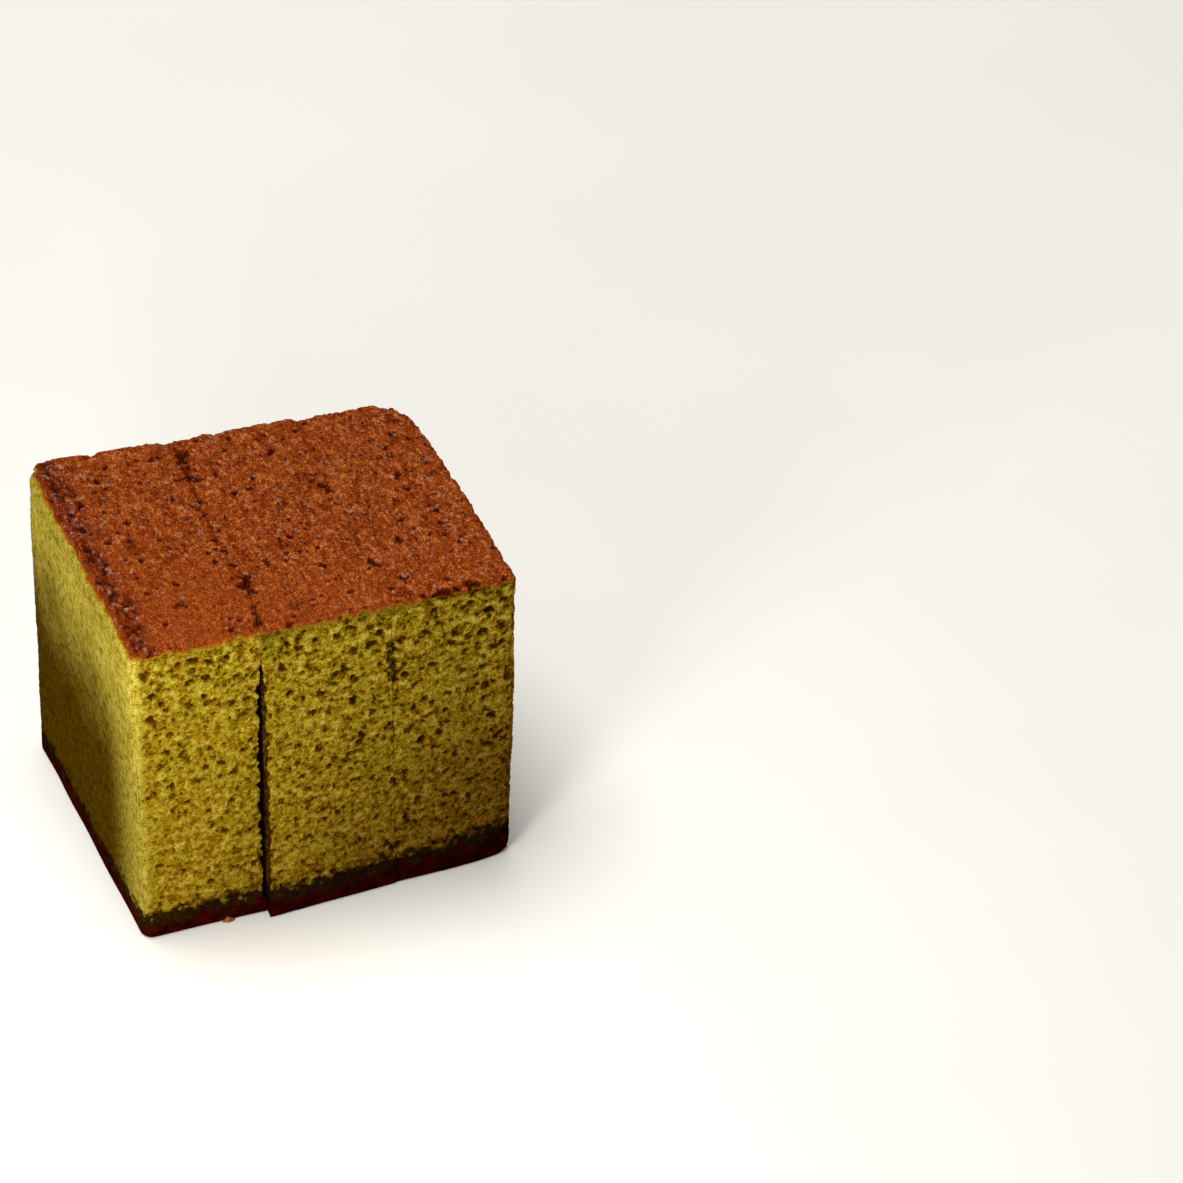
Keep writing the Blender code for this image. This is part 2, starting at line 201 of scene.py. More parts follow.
# Raised beads with painted glints in the wrinkled band beside the left rim: how many, their place, radius and
# height
WRINKLE_BEADS, BAND_MIDDLE, BAND_SPREAD = 90, 0.0034, 0.0012
BAND_BEAD_RADIUS, BAND_BEAD_HEIGHT = (0.18, 0.38), 0.00018
# The wrinkles: their place, the band's width, their depth, and the depth at which their painted shade is full
WRINKLE_PLACE, WRINKLE_WIDTH, WRINKLE_DEPTH, FULL_WRINKLE = 0.0032, 0.0018, 0.00070, 0.0004
# The first cut narrows toward the skin with this power of the height, and to these shares near the foot
# and in the crust
GAP_POWER, FOOT_GAP, CRUST_GAP = 2.4, 0.55, 0.2
# A cut narrower than the first of these counts as joined, and one wider than the second as open
JOINED = (0.00010, 0.00050)
# This close to the front, a point counts as part of its face
FRONT_FACE = 0.002
# How dark painted shade makes the walls of the cuts, at least and at most, and the bites of the left slice's
# edge
WALL_SHADE, WALL_DARKEST, LEFT_BITE_SHADE = 1.1, 1.6, 0.5
# How ragged the two upright edges of the first cut are, and how far from the edge
EDGE_BITE, EDGE_BITE_REACH = 0.00085, 0.0006
# The same for the block's own rims and edges: small crumbs off it, and wider notches
RIM_WEAR, RIM_WEAR_REACH = 0.00048, 0.0007
RIM_NOTCH, RIM_NOTCH_REACH = 0.00040, 0.0010


def smooth(low, high, value):
    """0 below low, 1 above high, and an even S between."""
    share = np.clip((value - low) / (high - low), 0.0, 1.0)
    return share * share * (3 - 2 * share)


def bumps(points, length, seed, stretch=(1.0, 1.0, 1.0)):
    """Smooth random heights between about -1 and 1 at each point. length is the size of a bump."""
    scaled = points / (np.array(stretch) * length) + np.array((1.0, 3.1, 0.7)) * seed
    return np.fromiter(map(noise.noise, scaled.tolist()), float, len(scaled))


def quads(plane, flip):
    """All the small squares of one side. plane holds the numbers of the side's points."""
    ring = [plane[:-1, :-1], plane[1:, :-1], plane[1:, 1:], plane[:-1, 1:]]
    corners = np.stack([corner.ravel() for corner in ring], axis=1)
    return (corners[:, ::-1] if flip else corners).tolist()


def wide_cells(plane, lines_u, lines_v, full_u, flip):
    """Wide cells between the given lines. They keep every point on their border lines, and none inside."""
    full_v = (lines_v[0], lines_v[-1])
    cells = []
    for u0, u1 in zip(lines_u, lines_u[1:]):
        for v0, v1 in zip(lines_v, lines_v[1:]):
            every_u, every_v = range(u0, u1 + 1), range(v0, v1 + 1)
            low = [plane[u, v0] for u in (every_u if v0 in full_v else (u0, u1))]
            high = [plane[u, v1] for u in (every_u if v1 in full_v else (u0, u1))]
            left = [plane[u0, v] for v in (every_v if u0 in full_u else (v0, v1))]
            right = [plane[u1, v] for v in (every_v if u1 in full_u else (v0, v1))]
            ring = low[:-1] + right[:-1] + high[:0:-1] + left[:0:-1]
            cells.append([int(number) for number in (ring[::-1] if flip else ring)])
    return cells


def lines_between(start, end, step):
    """Line numbers from start to end, about COARSE_CELL apart."""
    count = max(1, round((end - start) * step / COARSE_CELL))
    return [start + round((end - start) * line / count) for line in range(count + 1)]


def slice_surface(order):
    """The closed surface of one slice as a plain box: its points, and its faces as lists of point numbers."""
    counts = [round(length / step) for length, step in zip(SIDES, SLICES[order].mesh)]
    steps = [length / count for length, count in zip(SIDES, counts)]
    shape = [count + 1 for count in counts]
    numbers = np.arange(np.prod(shape)).reshape(shape)
    faces = []
    for axis in (X, Y, Z):
        u, v = [index for index in range(3) if index != axis]
        for far in (False, True):
            plane = np.take(numbers, counts[axis] if far else 0, axis=axis)
            flip = far if axis == Y else not far
            inner = axis == X and order != (SLICE_COUNT - 1 if far else 0)
            lines_v = lines_between(0, counts[v], steps[v])
            if inner:
                front, back = round(FINE_WALL / steps[u]), counts[u] - round(FINE_WALL / steps[u])
                faces += quads(plane[: front + 1], flip) + quads(plane[back:], flip)
                lines_u = lines_between(front, back, steps[u])
                faces += wide_cells(plane, lines_u, lines_v, (front, back), flip)
            elif axis == Z and not far:
                lines_u = lines_between(0, counts[u], steps[u])
                faces += wide_cells(plane, lines_u, lines_v, (0, counts[u]), flip)
            else:
                faces += quads(plane, flip)
    used = np.unique(np.concatenate([np.array(face) for face in faces]))
    renumbered = np.zeros(numbers.size, int)
    renumbered[used] = np.arange(len(used))
    faces = [renumbered[face].tolist() for face in faces]
    places = np.stack(np.unravel_index(used, numbers.shape), axis=1) * np.array(steps)
    return places, faces


def rounded(a, b, length_a, length_b, radii):
    """Pulls points near a rectangle's corners inside each corner's arc.

    radii go by a, then b: low-low, low-high, high-low, high-high.
    """
    low_a, low_b = a < length_a / 2, b < length_b / 2
    radius = np.select([low_a & low_b, low_a, low_b], radii[:3], radii[3])
    centre_a = np.where(low_a, radius, length_a - radius)
    centre_b = np.where(low_b, radius, length_b - radius)
    out_a = np.where(low_a, centre_a - a, a - centre_a)
    out_b = np.where(low_b, centre_b - b, b - centre_b)
    turning = (out_a > 0) & (out_b > 0)
    shrink = np.where(turning, np.maximum(out_a, out_b) / np.maximum(np.hypot(out_a, out_b), WELD), 1.0)
    new_a = np.where(turning, centre_a + (a - centre_a) * shrink, a)
    new_b = np.where(turning, centre_b + (b - centre_b) * shrink, b)
    return new_a, new_b


def softened(places, order):
    """Where the slice's soft rims and edges leave the points of the plain box."""
    first, last = order == 0, order == SLICE_COUNT - 1
    x, y, z = places.T
    y, z = rounded(y, z, CAKE_DEPTH, CAKE_HEIGHT, (BOTTOM_RIM, TOP_RIM, BOTTOM_RIM, TOP_RIM))
    left = (BOTTOM_RIM, LEFT_RIM) if first else (INNER_EDGE, SKIN_CUT_EDGE)
    right = (RIGHT_FOOT_RIM, RIGHT_RIM) if last else (INNER_EDGE, SKIN_CUT_EDGE)
    x, z = rounded(x, z, SLICE_THICKNESS, CAKE_HEIGHT, left + right)
    left = (UPRIGHT_EDGES["front_left"], UPRIGHT_EDGES["back_left"]) if first else (SKIN_CUT_EDGE,) * 2
    right = (UPRIGHT_EDGES["front_right"], UPRIGHT_EDGES["back_right"]) if last else (SKIN_CUT_EDGE,) * 2
    x, y = rounded(x, y, SLICE_THICKNESS, CAKE_DEPTH, left + right)
    return np.stack((x, y, z), axis=1)


def relief(block):
    """How far the low waves, the dragged crumb and the furrow move each point of the block."""
    x, y, z = block.T
    ragged = 0.0005 * bumps(block, 0.0016, 41) + 0.00025 * bumps(block, 0.0006, 42)
    in_crumb = smooth(BOTTOM_CRUST - 0.0004, BOTTOM_CRUST + 0.0004, z + ragged)
    in_crumb *= 1 - smooth(CAKE_HEIGHT - TOP_SKIN - 0.0002, CAKE_HEIGHT - TOP_SKIN + 0.0003, z + ragged)
    low_wave = SIDE_WAVE * bumps(block, SIDE_WAVE_LENGTH, 5)
    inward = low_wave + CRUMB_DRAG * in_crumb
    move = np.zeros_like(block)
    move[:, Y] += inward * (y < WELD) - inward * (y > CAKE_DEPTH - WELD)
    move[:, X] += low_wave * (x < WELD) - low_wave * (x > CAKE_WIDTH - WELD)
    furrow = np.clip(1 - np.abs(x - FURROW_INSET) / FURROW_WIDTH, 0, 1)
    top = TOP_WAVE * bumps(block, TOP_WAVE_LENGTH, 9)
    top -= FURROW_DEPTH * furrow * (0.6 + 0.4 * bumps(block, TOP_WAVE_LENGTH, 17))
    move[:, Z] += top * (z > CAKE_HEIGHT - WELD)
    return move


def scattered(kinds, low, high, chance):
    """Holes spread over a side. low and high are its corners; each hole is a place, a radius and a depth."""
    low, high = np.array(low), np.array(high)
    spans = high - low
    area_cm2 = np.prod([span for span in spans if span > WELD]) * 1e4
    found = []
    for kind in kinds:
        for _ in range(round(kind["per_cm2"] * area_cm2)):
            place = low + spans * chance.random(3)
            size = kind["foot_size"] + (1 - kind["foot_size"]) * place[Z] / CAKE_HEIGHT
            draw = chance.random() ** HOLE_POWER
            radius = size * MM * (kind["radius"][0] + (kind["radius"][1] - kind["radius"][0]) * draw)
            found.append((place, radius, MM * chance.uniform(*kind["depth"]) * size))
    return found


def lobed(holes, in_plane, chance):
    """Gives each hole one or two lobes at its edge. in_plane is 0 along the axis that the side faces."""
    lobes = []
    for place, radius, depth in holes:
        for _ in range(chance.integers(*LOBES)):
            aside = chance.normal(size=3) * in_plane
            aside *= radius * chance.uniform(*LOBE_ASIDE) / np.linalg.norm(aside)
            lobes.append((place + aside, radius * chance.uniform(*LOBE_RADIUS), depth * LOBE_DEPTH))
    return holes + lobes


def holes_of(order, chance):
    """Every hole that the knife laid open in one slice, in the slice's own box."""
    foot = BOTTOM_CRUST + CRUST_MARGIN
    width, depth, height = SIDES - np.array((0, 0, TOP_SKIN + SKIN_MARGIN))
    first, last = order == 0, order == SLICE_COUNT - 1
    front = scattered(CRUMB_HOLES, (0, 0, foot), (width, 0, height), chance)
    if first:
        front = [(place, radius, sunk * smooth(*LOAF_EDGE, place[X])) for place, radius, sunk in front]
    for across, up, radius in FRONT_HOLES:
        x = across * MM - order * SLICE_THICKNESS
        if -radius * MM < x < SLICE_THICKNESS + radius * MM:
            front.append((np.array((x, 0.0, up * MM)), radius * MM, FRONT_HOLE_DEPTH))
    back = scattered(CRUMB_HOLES, (0, depth, foot), (width, depth, height), chance)
    left_kinds, left_depth = (LOAF_SIDE_HOLES, CAKE_DEPTH) if first else (CRUMB_HOLES, FINE_WALL)
    sides = scattered(left_kinds, (0, 0, foot), (0, left_depth, height), chance)
    if first:
        sides = [(place, radius, sunk * smooth(*LOAF_EDGE, place[Y])) for place, radius, sunk in sides]
    right_depth = CAKE_DEPTH if last else FINE_WALL
    sides += scattered(CRUMB_HOLES, (width, 0, foot), (width, right_depth, height), chance)
    across_and_up, back_and_up = np.array((1.2, 0, 0.9)), np.array((0, 1.2, 0.9))
    return lobed(front + back, across_and_up, chance) + lobed(sides, back_and_up, chance)


def skin_pits_of(order, chance):
    """The pits of one slice's skin, and the small raised beads beside them that carry painted glints."""
    level = CAKE_HEIGHT - 0.0001
    pits = scattered(SKIN_HOLES, (0, 0, level), (SLICE_THICKNESS, CAKE_DEPTH, level), chance)
    edge = order * SLICE_THICKNESS
    kept = [CALM_SHARE + (edge + place[X] + 2 * place[Y]) / CALM_REACH for place, _, _ in pits]
    pits = [pit for pit, share in zip(pits, kept) if chance.random() < share]
    for across, back, radius in SKIN_MARKS:
        x = across * MM - order * SLICE_THICKNESS
        if -radius * MM < x < SLICE_THICKNESS + radius * MM:
            sunk = NOTCH_DEPTH if radius > NOTCH_RADIUS else MARK_DEPTH
            pits.append((np.array((x, back * MM, level)), radius * MM, sunk))
    beads = []
    for place, radius, _ in pits:
        for _ in range(chance.integers(0, PIT_BEADS)):
            angle = chance.uniform(0, math.tau)
            aside = radius * chance.uniform(*BEAD_ASIDE) * np.array((math.cos(angle), math.sin(angle), 0.0))
            beads.append((place + aside, MM * chance.uniform(*BEAD_RADIUS), BEAD_HEIGHT))
    if order == 0:
        for _ in range(WRINKLE_BEADS):
            place = (BAND_MIDDLE + BAND_SPREAD * chance.normal(), CAKE_DEPTH * chance.random(), level)
            beads.append((np.array(place), MM * chance.uniform(*BAND_BEAD_RADIUS), BAND_BEAD_HEIGHT))
    return lobed(pits, np.array((1.0, 1.0, 0)), chance), beads


def sunk_by(holes, tree, count, chance, bias):
    """How deep the holes go at each point, and how much of a hole each point is in, from 0 to DARKEST."""
    sink, inside = np.zeros(count), np.zeros(count)
    for place, radius, depth in holes:
        along = Vector(chance.normal(size=3) * bias).normalized()
        stretch = chance.uniform(*HOLE_STRETCH)
        squeeze = 1 - 1 / stretch**2
        centre = Vector(place)
        dark = DARKEST if depth >= FRONT_HOLE_DEPTH else min(1.0, depth / FULL_HOLE)
        for near, index, distance in tree.find_range(centre, radius * stretch):
            reach = distance * distance - squeeze * (near - centre).dot(along) ** 2
            share = 1 - reach / (radius * radius)
            if share > 0:
                sink[index] = max(sink[index], depth * share**HOLE_SHAPE)
                inside[index] = max(inside[index], dark * min(1.0, HOLE_SHADE * share))
    return sink, inside


def toward_core(places, order):
    """Unit vectors from the plain box's points straight inward.

    They turn evenly round its rims, but not where a cut is shut, so that the slices stay joined there.
    """
    x, y, z = places.T
    core = np.clip(places, CORE_INSET, SIDES - CORE_INSET)
    wall_only = (y > WELD) & (y < CAKE_DEPTH - WELD) & (z < CAKE_HEIGHT - WELD)
    pulls = []
    for cut in (order, order + 1):
        outer = cut in (0, SLICE_COUNT)
        pulls.append(np.where(wall_only | outer, 1.0, smooth(*JOINED, opening(cut, y, z))))
    core[:, X] = np.clip(x, CORE_INSET * pulls[0], SLICE_THICKNESS - CORE_INSET * pulls[1])
    inward = core - places
    return inward / np.linalg.norm(inward, axis=1)[:, None]


def wrinkles(block):
    """Depth of the short creases in the skin beside the left rim."""
    band = np.exp(-(((block[:, X] - WRINKLE_PLACE) / WRINKLE_WIDTH) ** 2))
    patches = smooth(-0.35, 0.20, bumps(block, 0.0045, 61))
    creases = 1 - np.abs(bumps(block, 0.0015, 62, (0.8, 1.4, 1.0))) * 3.2
    return WRINKLE_DEPTH * band * patches * np.clip(creases, 0, 1)


def off_seams(places, order):
    """0 at the edges where the slice is still joined to its neighbour, and 1 elsewhere."""
    x, y, z = places.T
    free = np.ones(len(places))
    for cut, from_cut in ((order, x), (order + 1, SLICE_THICKNESS - x)):
        if 0 < cut < SLICE_COUNT:
            shut = smooth(*JOINED[::-1], opening(cut, y, z))
            # Torn spots of the second cut stay on the front
            shut *= (cut == 1) | (z > CAKE_HEIGHT - WELD)
            free *= 1 - shut * smooth(SEAM_REACH, 0.0, from_cut)
    return free


def seams(block):
    """How far the skin sinks along the two cuts, and how much painted shade darkens it there."""
    sink, dark = np.zeros(len(block)), np.zeros(len(block))
    along = block * np.array((0, 1.0, 0))
    for cut, depth in SEAM_DEPTH.items():
        aside = np.abs(block[:, X] - cut * SLICE_THICKNESS + 0.0006 * bumps(along, 0.0016, 151 + cut))
        aside += 0.0003 * bumps(block, 0.0007, 153 + cut)
        share = smooth(SEAM_REACH, 0.0, aside) * smooth(-0.20, 0.40, bumps(along, 0.0036, 155 + cut))
        sink = np.maximum(sink, depth * share)
        dark = np.maximum(dark, share * depth / SEAM_DEPTH[1])
    return sink, dark


def foam(block, size, seed, stretch=(1.0, 1.0, 1.0)):
    """Uneven ridges and hollows at two sizes, mostly between -0.5 and 0.5."""
    return (bumps(block, size, seed, stretch) + 0.6 * bumps(block, size * 0.47, seed + 1, stretch)) / 1.2


def cut_edge_bites(places, block, order):
    """How far the upright edges of the first cut are bitten back at the front."""
    if order > 1:
        return np.zeros(len(places))
    from_edge = places[:, X] if order == 1 else SLICE_THICKNESS - places[:, X]
    upright = block * np.array((0, 0, 1.0))
    ragged = bumps(upright, 0.0027, 91 + order) + 0.8 * bumps(upright, 0.0011, 93 + order)
    ragged += 0.4 * bumps(block, 0.0006, 95)
    below_skin = smooth(0.0040, 0.0080, CAKE_HEIGHT - places[:, Z])
    bite = EDGE_BITE * (0.05 + 0.95 * smooth(-0.40, 0.85, ragged)) * below_skin
    return bite * np.exp(-from_edge / EDGE_BITE_REACH) * (places[:, Y] < FRONT_FACE)


def worn_rims(block):
    """How far crumbs have come off the block's own rims and edges at each point."""
    from_sides = np.stack((block[:, X], CAKE_WIDTH - block[:, X], block[:, Y], CAKE_DEPTH - block[:, Y]))
    from_sides = np.vstack((from_sides, CAKE_HEIGHT - block[:, Z]))
    from_edge = np.sort(from_sides, axis=0)[1]
    small, wide = smooth(-0.25, 0.55, foam(block, 0.0013, 141)), smooth(0.0, 0.5, bumps(block, 0.0026, 145))
    wear = RIM_WEAR * small * np.exp(-((from_edge / RIM_WEAR_REACH) ** 2))
    wear += RIM_NOTCH * wide * np.exp(-((from_edge / RIM_NOTCH_REACH) ** 2))
    left_upright = smooth(0.004, 0.002, block[:, X]) * smooth(0.001, 0.004, CAKE_HEIGHT - block[:, Z])
    return wear * (1 - 0.85 * left_upright)


def fine_relief(places, block, order, chance):
    """How far each point sinks, and what the material reads there: tone, painted shade of holes and walls,
    creases and glint beads.
    """
    count = len(places)
    warp = np.stack([bumps(block, 0.0007, seed) for seed in (71, 72, 73)], axis=1) * 0.00030
    tree = kdtree.KDTree(count)
    for index, place in enumerate((places + warp).tolist()):
        tree.insert(place, index)
    tree.balance()
    x, y, z = block.T
    on_top = z > CAKE_HEIGHT - WELD
    loaf_side = ~on_top & (x < WELD)
    cut_side = ~on_top & ~loaf_side & (z > WELD)
    sink, inside = sunk_by(holes_of(order, chance), tree, count, chance, LEVEL_BIAS)
    skin_pits, skin_beads = skin_pits_of(order, chance)
    pit, in_pit = sunk_by(skin_pits, tree, count, chance, SKIN_BIAS)
    bead, on_bead = sunk_by(skin_beads, tree, count, chance, SKIN_BIAS)
    free = off_seams(places, order)
    seam, seam_dark = seams(block)
    sink, inside, pit, bead = sink * free, inside * free, np.maximum(pit * free, seam), bead * free
    in_pit = np.maximum(in_pit, 0.7 * seam_dark)

    height_share = z / CAKE_HEIGHT
    crumb = foam(block, 0.00115, 101, (1.15, 1.15, 0.95)) * height_share
    crumb += foam(block, 0.00085, 103, (1.15, 1.15, 0.95)) * (1 - height_share)
    skin = foam(block, 0.00090, 111, (1.0, 1.7, 1.0))
    side = foam(block, 0.0011, 121, (1.0, 0.8, 1.0))
    # The front takes up the loaf side's finer grain toward the rounded edge between them
    crumb += (side - crumb) * smooth(0.0026, 0.0004, x) * (y < FRONT_FACE)
    hollow = smooth(-0.05, -0.50, crumb) * smooth(0.0, 0.0016, x) * free
    crease = wrinkles(block) * on_top
    bite = cut_edge_bites(places, block, order) * ~on_top

    depth = np.where(cut_side, np.maximum(sink, CRUMB_HOLLOW * hollow) + bite, 0.0)
    hollow = SKIN_HOLLOW * smooth(0.3, -0.4, skin)
    depth = np.where(on_top, np.maximum(pit, hollow) + crease - bead, depth)
    hollow = SIDE_HOLLOW * smooth(0.4, -0.4, side) * smooth(0.0, 0.0012, y)
    depth = np.where(loaf_side, sink + hollow, depth)
    depth += GRAIN * chance.random(count) * free + worn_rims(block)
    foot = smooth(0.0, 0.0006, z)
    low_crust = 1 - 0.6 * (1 - smooth(BOTTOM_CRUST - 0.0006, BOTTOM_CRUST + 0.0006, z))
    # Painted shade darkens the walls of the cuts, most of all just under the skin and over the crust
    wall = (x > WELD) & (places[:, X] < WELD)
    wall |= (x < CAKE_WIDTH - WELD) & (places[:, X] > SLICE_THICKNESS - WELD)
    painted_wall_shade = np.maximum(WALL_SHADE, WALL_DARKEST * smooth(0.0070, 0.0042, z))
    near_skin = smooth(CAKE_HEIGHT - 0.0070, CAKE_HEIGHT - 0.0040, z)
    painted_wall_shade = np.maximum(painted_wall_shade, WALL_DARKEST * near_skin)
    painted_wall_shade *= wall & ~on_top & (y > WELD)
    open_here = np.where(places[:, X] < WELD, opening(order, y, z), opening(order + 1, y, z))
    painted_wall_shade = painted_wall_shade * smooth(0.0004, 0.0014, CAKE_HEIGHT - z) * smooth(0.00003, 0.00025, open_here)
    # Painted shade also darkens the places where the edges of the first cut are bitten back
    bite_shade = WALL_SHADE if order else LEFT_BITE_SHADE
    painted_wall_shade = np.maximum(painted_wall_shade, bite_shade * smooth(0.00045, 0.00095, bite))
    # hole carries painted shade for holes, pits, seams and the cuts' walls; bead marks where painted glints go
    marks = {
        "tone": 0.5 + np.select((on_top, loaf_side), (skin, side), crumb),
        "hole": np.maximum(np.select((on_top, loaf_side), (in_pit, 0.5 * inside), inside) * foot, painted_wall_shade),
        "crease": np.clip(crease / FULL_WRINKLE, 0, 1),
        "bead": on_bead * on_top,
    }
    return depth * foot * low_crust, marks


def opening(cut, y, z):
    """How wide a cut stands open at each point.

    It is shut in the skin, but for the tears, narrow in the crust, and shut inside, halfway to the back.
    """
    knife = KNIFE_CUTS[cut]
    height_share = z / CAKE_HEIGHT
    wide = knife.open_foot + (knife.open_top - knife.open_foot) * height_share**GAP_POWER
    if not 0 < cut < SLICE_COUNT:
        return wide
    wide = wide * (CRUST_GAP + (1 - CRUST_GAP) * smooth(0.0010, 0.0050, z))
    wide = wide * (FOOT_GAP + (1 - FOOT_GAP) * smooth(0.0040, 0.0240, z))
    touch = np.clip(1.3 * np.exp(-(((y - TOUCH_PLACE) / TOUCH_REACH) ** 2)), 0, 1)
    wide = wide * (1 - TOUCH_SHARE * touch)
    tear = np.zeros_like(y)
    for middle, length, width in SKIN_TEARS[cut]:
        share = 1 - ((y - middle * MM) / (length * MM / 2)) ** 2
        tear = np.maximum(tear, width * MM * np.sqrt(np.clip(share, 0, 1)))
    along = np.stack((np.zeros_like(y), y, np.zeros_like(y)), axis=1)
    shut = tear * (1 + 0.9 * bumps(along, 0.0007, 131 + cut)) * smooth(0.0022, 0.0008, CAKE_HEIGHT - z)
    shut = SHUT_CUT + np.maximum(shut, 0)
    below_skin = smooth(0.0, 0.0035, CAKE_HEIGHT - z)
    if cut == 1:
        below_skin *= np.maximum(smooth(0.0035, 0.0120, CAKE_HEIGHT - z), smooth(0.002, 0.008, y))
    if cut == 2:
        below_skin *= smooth(0.0015, 0.0045, y) * smooth(0.0015, 0.0045, CAKE_DEPTH - y)
    return shut + (np.maximum(wide, shut) - shut - TOUCH_PRESS * touch**4) * below_skin


def foot_press(x, y, z):
    """How far the foot of the block's front right edge is pressed in."""
    near_end = np.clip(1 - (CAKE_WIDTH - x) / PRESS_REACH[X], 0, None)
    near_front = np.clip(1 - y / PRESS_REACH[Y], 0, None)
    near_foot = np.clip(1 - z / PRESS_REACH[Z], 0, None)
    return FOOT_PRESS * near_end**2 * near_front * near_foot


def placed(points, order):
    """Carries the points of the plain box to their place between the slice's two cuts."""
    stand = SLICES[order]
    x, y, z = points.T
    depth_share, height_share = y / CAKE_DEPTH, z / CAKE_HEIGHT
    bent = np.clip((depth_share - BOW_START) / (1 - BOW_START), 0, None) ** BOW_POWER
    edges = []
    for cut, hand in ((order, 1), (order + 1, -1)):
        knife = KNIFE_CUTS[cut]
        middle = cut * SLICE_THICKNESS + knife.foot + knife.to_back * depth_share + knife.to_top * height_share
        middle = middle + knife.to_far_top * depth_share * height_share + knife.bow * bent
        for bend_place, bend_reach, bend in SEAM_BENDS.get(cut, ()):
            near_skin = smooth(SEAM_BEND_HEIGHT, 0.0, CAKE_HEIGHT - z)
            middle = middle + bend * MM * np.exp(-(((y / MM - bend_place) / bend_reach) ** 2)) * near_skin
        edges.append(middle + hand * opening(cut, y, z) / 2)
    width_share = x / SLICE_THICKNESS
    x = edges[0] + (edges[1] - edges[0]) * width_share
    front = stand.set_back - stand.foot_out * (1 - width_share) * (1 - height_share) ** 2
    back = CAKE_DEPTH + stand.back_left + (stand.back_right - stand.back_left) * width_share
    y = front + (back - front) * depth_share
    y = y + foot_press(x, y, z)
    z = z * (1 + stand.taller / CAKE_HEIGHT)
    return np.stack((x, y, z), axis=1) - ORIGIN


# Colours, linear RGB. A ramp is a list of places from 0, deep in a hole, to 1, on a bright ridge, and colours
# Holes, pits, seams, creases and the cuts' walls are pushed toward a ramp's dark end: painted shade
CRUMB_RAMP = (
    (0.00, (0.034, 0.0140, 0.0006)),
    (0.22, (0.080, 0.0340, 0.0007)),
    (0.40, (0.164, 0.0970, 0.0012)),
    (0.58, (0.278, 0.1990, 0.0056)),
    (0.78, (0.405, 0.3130, 0.0220)),
    (1.00, (0.570, 0.4680, 0.0820)),
)
SIDE_RAMP = (
    (0.00, (0.085, 0.048, 0.0010)),
    (0.35, (0.250, 0.176, 0.0030)),
    (0.65, (0.480, 0.368, 0.0290)),
    (1.00, (0.680, 0.550, 0.1080)),
)
# The skin's palest stop is a painted highlight, reached in small glints
SKIN_RAMP = (
    (0.00, (0.030, 0.0030, 0.0006)),
    (0.22, (0.066, 0.0070, 0.0008)),
    (0.42, (0.132, 0.0165, 0.0014)),
    (0.60, (0.213, 0.0345, 0.0018)),
    (0.80, (0.290, 0.0570, 0.0070)),
    (1.00, (0.455, 0.1640, 0.0520)),
)
FRINGE_RAMP = (
    (0.00, (0.060, 0.0050, 0.0010)),
    (0.30, (0.175, 0.0180, 0.0015)),
    (0.60, (0.335, 0.0600, 0.0036)),
    (1.00, (0.530, 0.2100, 0.0190)),
)
CRUST_RAMP = (
    (0.20, (0.008, 0.0006, 0.0005)),
    (0.55, (0.032, 0.0016, 0.0010)),
    (0.85, (0.090, 0.0060, 0.0030)),
)
BORDER_RAMP = (
    (0.20, (0.006, 0.0020, 0.0004)),
    (0.60, (0.014, 0.0056, 0.0004)),
    (0.90, (0.052, 0.0260, 0.0010)),
)
# Tints darker toward the crumb's foot, right and lower right corner: partly painted shade, partly a browner
# crumb
LOW_TINT, RIGHT_TINT, CORNER_TINT = (0.84, 0.75, 0.74), (0.78, 0.72, 0.74), (0.56, 0.48, 0.48)
# Painted shade on the lower part of the loaf's own side
SIDE_SHADE_TINT = (0.142, 0.090, 0.014)
# UNDER_SKIN_TINT darkens the crumb under the skin's rim, partly with painted shade
BROWNER_TINT, UNDER_SKIN_TINT, GREENER_TINT = (0.93, 0.79, 0.72), (0.42, 0.40, 0.26), (0.40, 0.50, 0.30)
ORANGE_EDGE, PAINTED_GLINT = (0.330, 0.150, 0.0060), (0.60, 0.34, 0.23)
CREASE_TINT = (0.61, 0.47, 0.78)
# How much higher than elsewhere the crumb reaches at the rims, in millimetres
RIM_DROP = 0.75
PALE_CARD = (0.860, 0.850, 0.805), (0.875, 0.865, 0.825)


